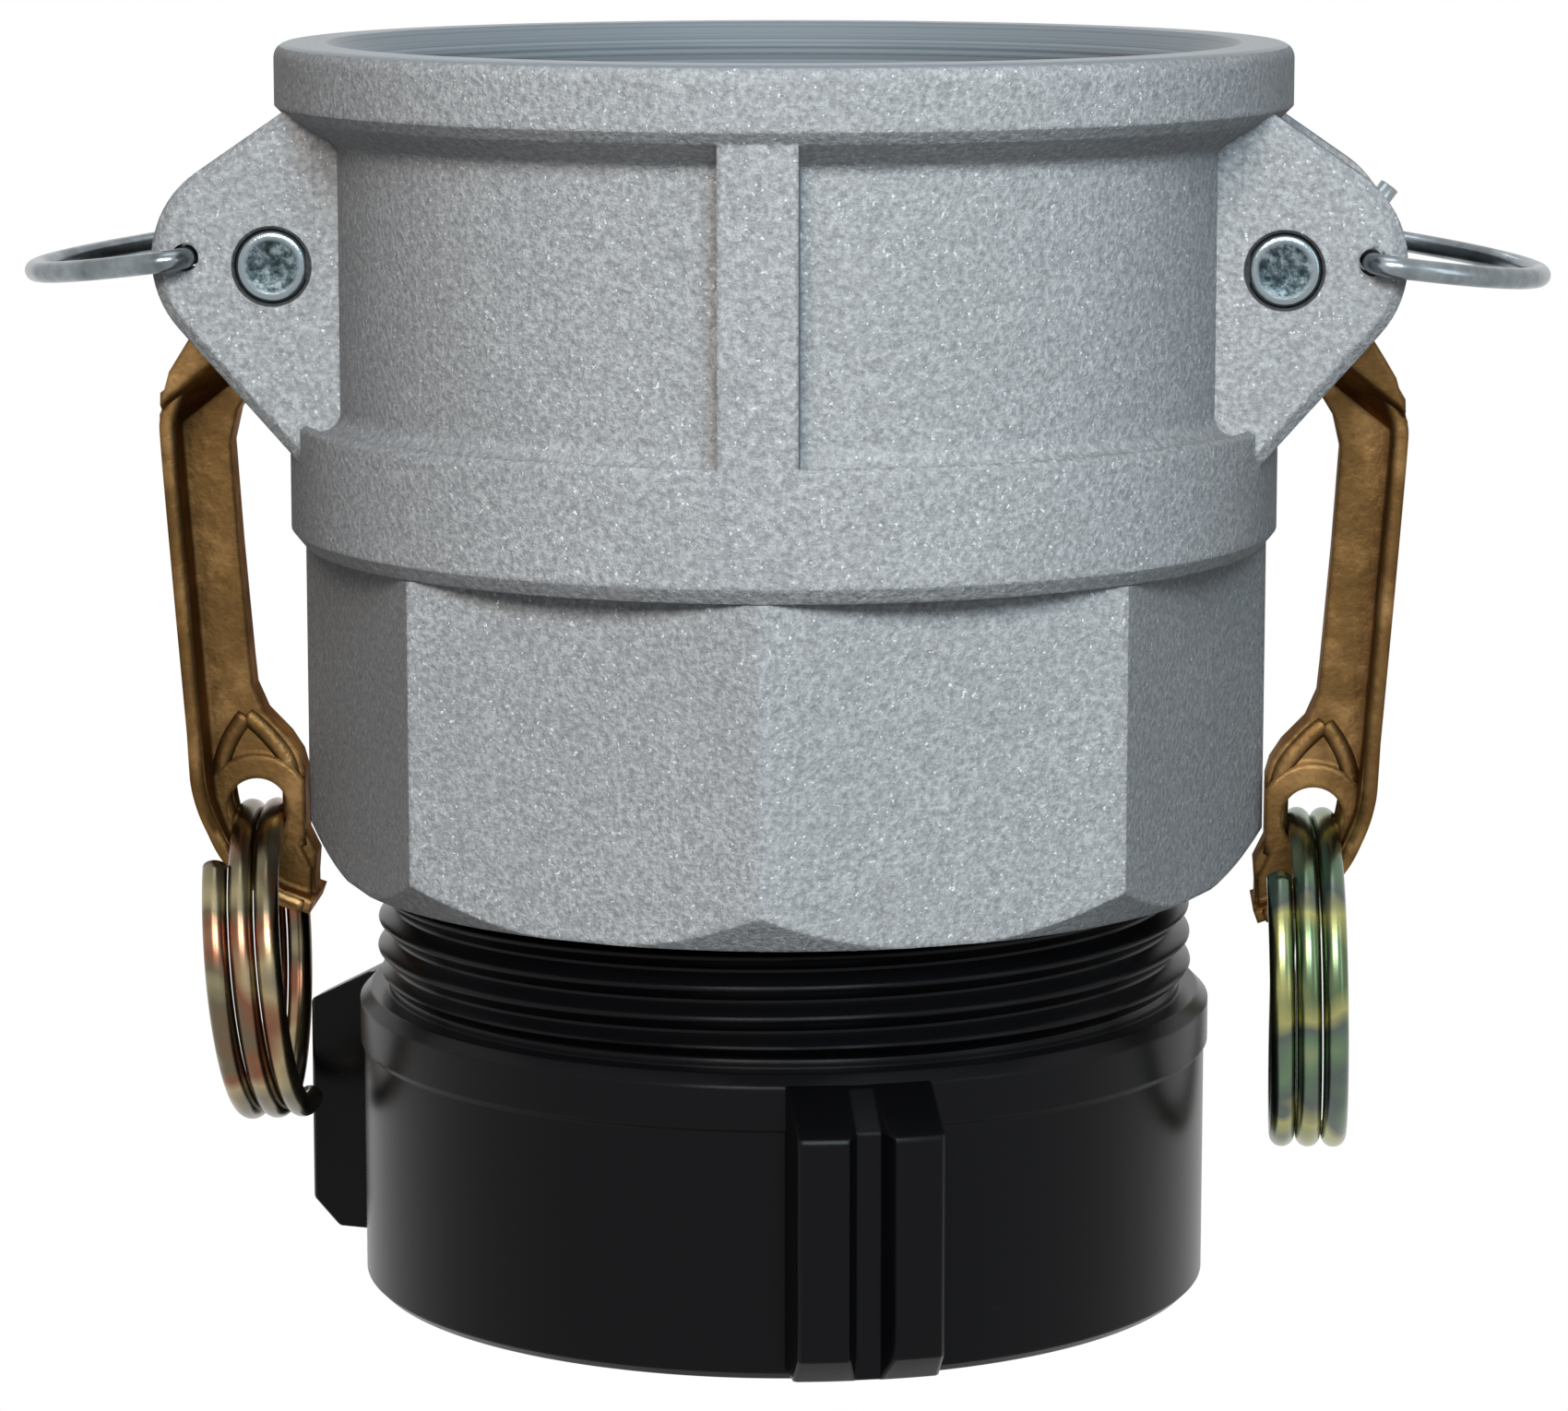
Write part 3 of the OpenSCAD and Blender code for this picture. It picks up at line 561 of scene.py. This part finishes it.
def safetyClip(name, side, node, body):
    # bent wire in one plane: shank along y, front bend of radius bend, then the loop, an arc of radius r about x = c
    # that meets the bend and reaches out to x = reach; the tab after the rear bend is turned up about the shank,
    # and the whole clip droops about the hole
    k = clipWire
    bend, shank = k["bend"], k["shank"]
    reach = k["reach"] - k["wire"] / 2
    c = ((reach - bend) ** 2 - bend ** 2 - shank ** 2) / (2 * (reach - bend) - 2 * bend)
    meet = math.degrees(math.atan2(-shank, bend - c))
    tab = np.concatenate([arcPoints(bend, shank, bend, 180, 90, 9), [[bend + k["tab"], shank + bend]]])
    up = np.radians(k["tabTurn"])
    tab = np.stack([tab[:, 0] * math.cos(up), tab[:, 1], tab[:, 0] * math.sin(up)], 1)
    none = np.zeros(k["shankPoints"])
    straight = np.stack([none, np.linspace(shank, -shank, k["shankPoints"]), none], 1)
    front = arcPoints(bend, -shank, bend, 180, 360 + meet, 12)
    loop = arcPoints(c, 0, reach - c, meet, -meet - k["loopPast"], 90)
    flat = np.concatenate([front[1:], loop[1:]])
    p = np.concatenate([tab[::-1], straight[1:], np.column_stack([flat, np.zeros(len(flat))])])
    t = math.radians(k["droop"])
    x = p[:, 0] * math.cos(t) + p[:, 2] * math.sin(t)
    z = -p[:, 0] * math.sin(t) + p[:, 2] * math.cos(t)
    path = np.stack([side * (k["x"] + x), p[:, 1], k["z"] + z], 1)
    finish(tube(name, path, k["wire"] / 2, k["sides"]), clipZinc, body, node)


safetyClip("clip_wire_left", -1, "safety_clip_left", "left_safety_clip")
safetyClip("clip_wire_right", 1, "safety_clip_right", "right_safety_clip")

print("arm pins")

pin = {"r": 3.9, "half": 17.5, "edge": 0.8, "dish": 0.12, "middle": 0.02, "sides": 64}


def armPin(name, side, node):
    # turned pin: a profile of radius and length turned about Y, with round shiny edges and a faintly dished face
    k = pin
    flatR = k["r"] - k["edge"]
    prof = [(k["middle"], -k["half"] + k["dish"]), (flatR - 0.5, -k["half"] + k["dish"] * 0.7),
            (flatR - 0.15, -k["half"])]
    for a in np.radians(np.linspace(-90, 0, 7)):
        prof.append((flatR + k["edge"] * math.cos(a), -k["half"] + k["edge"] + k["edge"] * math.sin(a)))
    prof += [(r, -y) for r, y in reversed(prof)]
    x, z, y = latheGrid(np.array(prof), k["sides"], side * pinPlace["x"])
    o = gridMesh(name, np.stack([x, y, pinPlace["z"] + z], -1), loopV=True, capEnds=True)
    finish(o, pinZinc, "coupler", node)


armPin("pin_left", -1, "arm_pin_left")
armPin("pin_right", 1, "arm_pin_right")

print("adapter")

# radii and heights of the turned adapter, from its foot up: ring, collar, neck, taper thread; then its bore
turned = {"ring": 45.9, "foot": 0.8, "collar": 46.3, "collarFrom": 26.0, "collarStep": 0.4, "bevel": 1.2, "top": 32.0,
          "neck": 43.15, "neckHigh": 0.8, "crest": 44.45, "taper": 1 / 32, "root": 1.42,
          "threadFrom": 33.0, "threadTo": 50.0, "ease": 1.0, "end": 73.0,
          "bore": 36.0, "boreFrom": 35.0, "waist": 33.0, "waistTop": 32.0, "shelf": 23.0,
          "seat": 39.6, "seatFrom": 17.8, "hose": 39.0, "mouth": 1.2, "sides": 288}
screw = {"pitch": 3.175, "depth": 1.5, "from": 30.2, "turns": 6.4, "flat": 0.10, "steps": 220, "across": 23,
         "margin": 0.03, "soft": 14.0, "runInAbove": 1.1, "neckSunk": 0.1, "runOutFrom": 49.0, "runOutSlope": 0.5,
         "sunk": 0.6}
lugSize = {"r": 54.2, "w": 15.0, "lift": 1.4, "chamfer": 2.8, "slope": 3.8, "edge": 0.35, "belowTop": 1.0, "sunk": 2.0,
           "grooveTop": 4.5, "grooveFoot": 2.5, "grooveDeep": 2.5, "grooveLeast": 0.15, "turns": (12.3, -107.7, 132.3)}


def crestAt(z):
    # crest radius of the taper thread: it falls by one part in 32 with height
    return turned["crest"] - (z - turned["top"]) * turned["taper"]


def adapterCore():
    # the closed profile below turned round Z; the threaded part is sunk below the thread's roots
    k = turned
    ring, collar, top, end = k["ring"], k["collar"], k["top"], k["end"]
    threadFrom, threadTo = k["threadFrom"], k["threadTo"]
    prof = [(k["hose"] + k["mouth"], 0.0), (ring - k["foot"], 0.0), (ring, k["foot"]), (ring, k["collarFrom"]),
            (collar, k["collarFrom"] + k["collarStep"]), (collar, top - k["bevel"]), (collar - k["bevel"], top),
            (k["neck"], top), (k["neck"], top + k["neckHigh"]), (crestAt(threadFrom) - k["root"], threadFrom),
            (crestAt(threadTo) - k["root"], threadTo), (crestAt(threadTo), threadTo + k["ease"]),
            (crestAt(end - k["ease"]), end - k["ease"]), (crestAt(end) - k["ease"], end),
            (k["bore"], end), (k["bore"], k["boreFrom"]), (k["waist"], k["waistTop"]), (k["waist"], k["shelf"]),
            (k["seat"], k["shelf"]), (k["seat"], k["seatFrom"]), (k["hose"], k["seatFrom"]), (k["hose"], k["mouth"])]
    o = gridMesh("adapter_core", np.stack(latheGrid(np.array(prof), k["sides"]), -1), loopU=True, loopV=True)
    finish(o, black, "coupler", "adapter", 25)


def adapterThread():
    # right-hand ridge wound on the core: z = from + pitch * (a / full turn + v), v runs over one pitch;
    # r = crest - depth * wave, where wave is 0 on a narrow crest, 1 at the feet and straight on the flanks, its
    # corners rounded by soft; at both ends r is held under a cone, so that the thread runs out;
    # the inner side closes it inside the core
    k = screw
    a = np.linspace(0.0, k["turns"] * fullTurn, int(k["turns"] * k["steps"]) + 1)
    v = np.linspace(k["margin"], 1.0 - k["margin"], k["across"])
    aa, vv = np.meshgrid(a, v, indexing="ij")
    z = k["from"] + k["pitch"] * (aa / fullTurn + vv)
    flank = (np.abs(vv * 2.0 - 1.0) - k["flat"]) / (1.0 - 2.0 * k["flat"])
    soft = k["soft"]
    wave = np.log1p(np.exp(soft * flank)) / soft - np.log1p(np.exp(soft * (flank - 1.0))) / soft
    runIn = turned["neck"] - k["neckSunk"] + np.maximum(0.0, z - turned["top"] - k["runInAbove"])
    runOut = crestAt(z) - np.maximum(0.0, z - k["runOutFrom"]) * k["runOutSlope"]
    r = np.minimum(np.minimum(crestAt(z) - k["depth"] * wave, runIn), runOut)
    innerZ, innerA = z[:, [-1, 0]], aa[:, [-1, 0]]
    innerR = crestAt(innerZ) - k["depth"] - k["sunk"]
    r, aa, z = [np.concatenate(pair, 1) for pair in ((r, innerR), (aa, innerA), (z, innerZ))]
    o = gridMesh("adapter_thread", np.stack([r * np.cos(aa), r * np.sin(aa), z], -1), loopV=True, capEnds=True)
    finish(o, black, "coupler", "adapter", 70)


def adapterLug(name, turn):
    # upright block on the ring: each level (height, outer radius) has the same outline, its outer face an arc of that
    # radius with a sloped groove down its middle, shallow at both ends, and edges cut by a small chamfer
    k = lugSize
    e, r, lift = k["edge"], k["r"], k["lift"]
    top = turned["top"] - k["belowTop"]
    levels = [(lift, r - k["chamfer"] - e * 0.6), (lift + e * 0.4, r - k["chamfer"]),
              (lift + k["chamfer"], r - e * 0.35), (lift + k["chamfer"] + e, r),
              (top - k["slope"] - e, r), (top - k["slope"], r - e * 0.5),
              (top - e * 0.6, turned["ring"] + 1.3), (top, turned["ring"] + 0.1)]
    side, foot = k["w"] / 2, k["grooveFoot"] / 2
    widen = (k["grooveTop"] - k["grooveFoot"]) / 2
    back = turned["ring"] - k["sunk"]
    rows = []
    for z, faceR in levels:
        floorR = min(r - k["grooveDeep"], faceR - k["grooveLeast"])
        deep = (faceR - floorR) / k["grooveDeep"]
        half = foot + widen * deep
        # left half of the outline, from the back's corner to the groove's floor, then its mirror image
        face = np.linspace(-side + e, -half - e * 0.6, 6)
        xs = np.array([-side, -side, *face, -half, -foot])
        ys = np.array([back, faceR - e, *[faceR] * 6, faceR - e * 0.7 * min(1.0, deep * 2), floorR])
        xs, ys = np.concatenate([xs, -xs[::-1]]), np.concatenate([ys, ys[::-1]])
        # the outer face follows the arc, so its radius is measured from the axis
        out = np.sqrt(ys * ys - xs * xs)
        out[[0, -1]] = back
        rows.append(np.stack([xs, -out, np.full(len(xs), z)], 1))
    p = np.array(rows)
    a = math.radians(turn)
    x = p[..., 0] * math.cos(a) - p[..., 1] * math.sin(a)
    y = p[..., 0] * math.sin(a) + p[..., 1] * math.cos(a)
    o = gridMesh(name, np.stack([x, y, p[..., 2]], -1), loopV=True, capEnds=True)
    finish(o, black, "coupler", "adapter", 20)


adapterCore()
adapterThread()
for i, turn in enumerate(lugSize["turns"]):
    adapterLug("adapter_lug_%d" % (i + 1), turn)

print("ear roots")

earRoot = {"inner": 44.6, "outer": 49.2, "face": 17.49, "back": 13.4, "low": 92.0, "high": 127.0, "levels": 8}


def earRoots():
    # the ears' outer faces carried on into the recess's wall: four upright blocks, each a rectangle raised
    # from low to high
    k = earRoot
    outline = [(k["inner"], k["back"]), (k["outer"], k["back"]), (k["outer"], k["face"]), (k["inner"], k["face"])]
    z = np.linspace(k["low"], k["high"], k["levels"])[:, None]
    for sx, side in ((-1, "left"), (1, "right")):
        for sy, face in ((-1, "front"), (1, "back")):
            x, y = (np.array(outline) * (sx, sy)).T
            p = np.stack(np.broadcast_arrays(x[None], y[None], z), -1)
            o = gridMesh("ear_root_%s_%s" % (side, face), p, loopV=True, capEnds=True)
            finish(o, aluminium, "coupler", sharp=30)


earRoots()

print("arm beads")

# the arm's flange: thickness, half width, and the half width that it narrows to below the eye; then the bead over
# its edge and the ridges round the eye's pocket, with how deep each sits in the arm; last the two lines in x and z
armSize = {"flangeT": 1.5, "half": 8.0, "footHalf": 5.6, "narrowFrom": 49.0, "narrowTo": 55.0,
           "bead": 0.9, "inset": 0.5, "beadOut": 0.2, "outBelow": 54.0, "outAbove": 60.0, "beadStep": 0.5,
           "web": 2.25, "ridge": 1.2, "ridgeDeep": 0.65, "ridgeStep": 0.4, "beadSides": 16, "ridgeSides": 14}
outerPath = [(64.5, 99.1), (66.4, 94.7), (66.4, 91.9), (63.83, 57.0), (63.33, 52.0), (61.93, 48.0), (60.43, 45.4),
             (58.03, 43.0), (55.03, 41.2), (52.2, 40.2)]
innerRidge = [(58.5, 61.2), (57.1, 60.1), (55.5, 58.4), (54.1, 56.6), (53.55, 54.4), (53.5, 51.5), (53.5, 48.9),
              (52.9, 46.6)]
outerRidge = [(58.5, 61.2), (59.6, 59.8), (60.8, 57.6), (61.5, 54.8), (61.3, 51.6), (60.5, 48.6), (59.3, 46.4)]


def smoothPath(points, step):
    # corner cutting: three times, every corner gives way to points at 1/4 and 3/4 of its edges, the ends stay;
    # then the same line with points every step millimetres
    p = np.array(points, float)
    for _ in range(3):
        q = np.stack([p[:-1] * 0.75 + p[1:] * 0.25, p[:-1] * 0.25 + p[1:] * 0.75], 1).reshape(-1, 2)
        p = np.concatenate([p[:1], q, p[-1:]])
    apart = np.linalg.norm(np.diff(p, axis=0), axis=1) > 0.05
    p = p[np.concatenate([[True], apart])]
    run = np.concatenate([[0.0], np.cumsum(np.linalg.norm(np.diff(p, axis=0), axis=1))])
    t = np.linspace(0.0, run[-1], max(int(run[-1] / step), 2) + 1)
    return np.stack([np.interp(t, run, p[:, i]) for i in range(2)], 1)


def armBeads(side, name, body):
    # forging edges of one arm, front and back: a round bead over the flange's edge that narrows
    # with the flange below the eye, and two ridges that meet over the eye round its pocket
    k = armSize
    p = smoothPath(outerPath, k["beadStep"])
    d = np.gradient(p, axis=0)
    d /= np.linalg.norm(d, axis=1)[:, None]
    out = np.interp(p[:, 1], [k["outBelow"], k["outAbove"]], [k["beadOut"], 0.0])
    mid = p + np.stack([d[:, 1], -d[:, 0]], 1) * (k["flangeT"] / 2 - out)[:, None]
    half = np.interp(mid[:, 1], [k["narrowFrom"], k["narrowTo"]], [k["footHalf"], k["half"]]) - k["inset"]
    for face, f in (("front", -1), ("back", 1)):
        path = np.stack([side * mid[:, 0], f * half, mid[:, 1]], 1)
        pieces = [tube("arm_%s_bead_%s" % (name, face), path, k["bead"], k["beadSides"])]
        for j, ridge in enumerate((innerRidge, outerRidge)):
            q = smoothPath(ridge, k["ridgeStep"])
            path = np.stack([side * q[:, 0], np.full(len(q), f * (k["web"] - k["ridgeDeep"])), q[:, 1]], 1)
            pieces.append(tube("arm_%s_ridge_%d_%s" % (name, j + 1, face), path, k["ridge"], k["ridgeSides"]))
        for o in pieces:
            finish(o, brass, body)


armBeads(-1, "left", "left_arm")
armBeads(1, "right", "right_arm")
